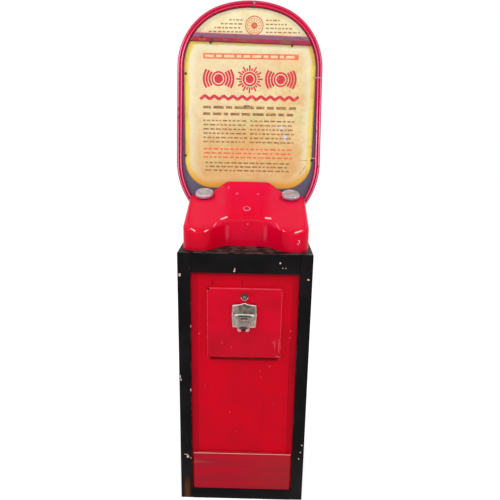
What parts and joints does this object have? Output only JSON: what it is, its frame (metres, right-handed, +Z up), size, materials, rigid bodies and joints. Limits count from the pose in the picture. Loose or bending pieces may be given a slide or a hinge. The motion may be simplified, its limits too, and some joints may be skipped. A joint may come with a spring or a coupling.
{
  "type": "hand vibrator arcade machine",
  "caption": "Free-standing coin-operated cabinet with a cast console, two vibrating hand knobs, a push coin slide in a hinged coin door and an arched sign behind.",
  "frame": {"origin": "on the floor under the centre of the cabinet's footprint", "axes": "+Z up, the front with the coin door faces -Y, +X is to the right seen from the front"},
  "size_m": [0.4718, 0.4618, 1.577],
  "materials": {
    "black_paint": "brushed black enamel on wood, chipped to pale wood at the edges",
    "red_panel_paint": "brushed red enamel on plywood, scratched",
    "kick_paint": "red enamel on wood, rubbed brown along the grain",
    "raw_wood": "bare softwood",
    "red_enamel": "glossy red enamel on cast metal",
    "door_paint": "red enamel on folded sheet steel",
    "knob_nickel": "satin nickel plate, brighter on the rims",
    "old_nickel": "worn nickel plate with brown showing",
    "steel": "plain steel",
    "brass": "turned brass",
    "rubber": "black rubber",
    "motor_paint": "dark grey hammered paint",
    "sign_red": "red enamel on a rolled steel rail",
    "grey_sheet": "dull grey paint on sheet steel",
    "cream_print": "cream printed panel, yellowed",
    "tan_print": "tan printed panel with a yellow border, yellowed"
  },
  "bodies": {
    "cabinet": {"left_side_panel": "black_paint", "right_side_panel": "black_paint", "bottom_board": "raw_wood", "top_board": "black_paint", "front_left_stile": "black_paint", "front_right_stile": "black_paint", "front_top_rail": "black_paint", "front_bottom_rail": "black_paint", "front_panel": "red_panel_paint", "kick_board": "kick_paint", "back_top_rail": "black_paint", "back_bottom_rail": "black_paint", "back_stop_batten": "raw_wood", "back_hinge_fixed_leaf": "steel", "back_hinge_pin": "steel", "coin_door_fixed_leaf": "door_paint", "coin_door_hinge_pin": "steel", "coin_drop_tube": "steel", "console_casting": "red_enamel", "console_cup_washer": "red_enamel", "console_screw": "old_nickel", "console_block": "raw_wood", "left_grommet": "rubber", "right_grommet": "rubber", "mechanism_plate": "steel", "cradle_spring_1": "steel", "cradle_spring_2": "steel", "cradle_spring_3": "steel", "cradle_spring_4": "steel", "sign_frame": "sign_red", "sign_crossbar": "sign_red", "sign_back_sheet": "grey_sheet", "sign_header_panel": "cream_print", "sign_main_panel": "tan_print", "left_sign_strap": "steel", "right_sign_strap": "steel"},
    "coin_door": {"coin_door": "door_paint", "coin_door_moving_leaf": "door_paint", "coin_door_lock_case": "old_nickel", "coin_plate": "old_nickel", "coin_channel": "steel", "coin_chute": "steel", "timer_case": "brass"},
    "coin_door_lock": {"coin_door_lock_cam": "old_nickel"},
    "coin_slide": {"coin_slide": "old_nickel"},
    "timer_lever": {"timer_lever": "steel"},
    "back_door": {"back_door": "black_paint", "back_hinge_moving_leaf": "steel", "back_lock_case": "old_nickel"},
    "back_lock": {"back_lock_cam": "old_nickel"},
    "cash_box": {"cash_box": "steel"},
    "cradle": {"cradle_plate": "steel", "motor_case": "motor_paint", "left_stem": "steel", "right_stem": "steel", "left_knob": "knob_nickel", "right_knob": "knob_nickel"},
    "rotor": {"motor_shaft": "steel", "left_eccentric": "brass", "right_eccentric": "brass"}
  },
  "joints": [
    {"name": "coin_door_hinge", "type": "hinge", "parent": "cabinet", "child": "coin_door", "pos_m": [0, -0.169, 0.511], "axis": [1, 0, 0], "range_deg": [0, 95]},
    {"name": "coin_door_lock_turn", "type": "hinge", "parent": "coin_door", "child": "coin_door_lock", "pos_m": [0, -0.16, 0.712], "axis": [0, 1, 0], "range_deg": [0, 90]},
    {"name": "coin_slide_push", "type": "slide", "parent": "coin_door", "child": "coin_slide", "axis": [0, 1, 0], "range_m": [0, 0.07], "stiffness_N_per_m": 60, "springref_m": -0.02},
    {"name": "timer_lever_swing", "type": "hinge", "parent": "coin_door", "child": "timer_lever", "pos_m": [0, -0.0715, 0.58838], "axis": [1, 0, 0], "range_deg": [-60, 0]},
    {"name": "back_door_hinge", "type": "hinge", "parent": "cabinet", "child": "back_door", "pos_m": [-0.1877, 0.179, 0.4025], "axis": [0, 0, 1], "range_deg": [0, 110]},
    {"name": "back_lock_turn", "type": "hinge", "parent": "back_door", "child": "back_lock", "pos_m": [0.149, 0.16, 0.4025], "axis": [0, 1, 0], "range_deg": [0, 90]},
    {"name": "cash_box_draw", "type": "slide", "parent": "cabinet", "child": "cash_box", "axis": [0, 1, 0], "range_m": [0, 0.11]},
    {"name": "cradle_shake", "type": "slide", "parent": "cabinet", "child": "cradle", "axis": [0, 0, 1], "range_m": [-0.002, 0.002], "stiffness_N_per_m": 30000, "springref_m": 0.00186, "deforming": ["cradle_spring_1", "cradle_spring_2", "cradle_spring_3", "cradle_spring_4"]},
    {"name": "rotor_spin", "type": "hinge", "parent": "cradle", "child": "rotor", "pos_m": [0, 0.041, 0.9222], "axis": [1, 0, 0], "continuous": true}
  ],
  "couplings": [
    {"joint": "timer_lever_swing", "follows": "coin_slide_push", "rad_per_m": -14.95}
  ]
}
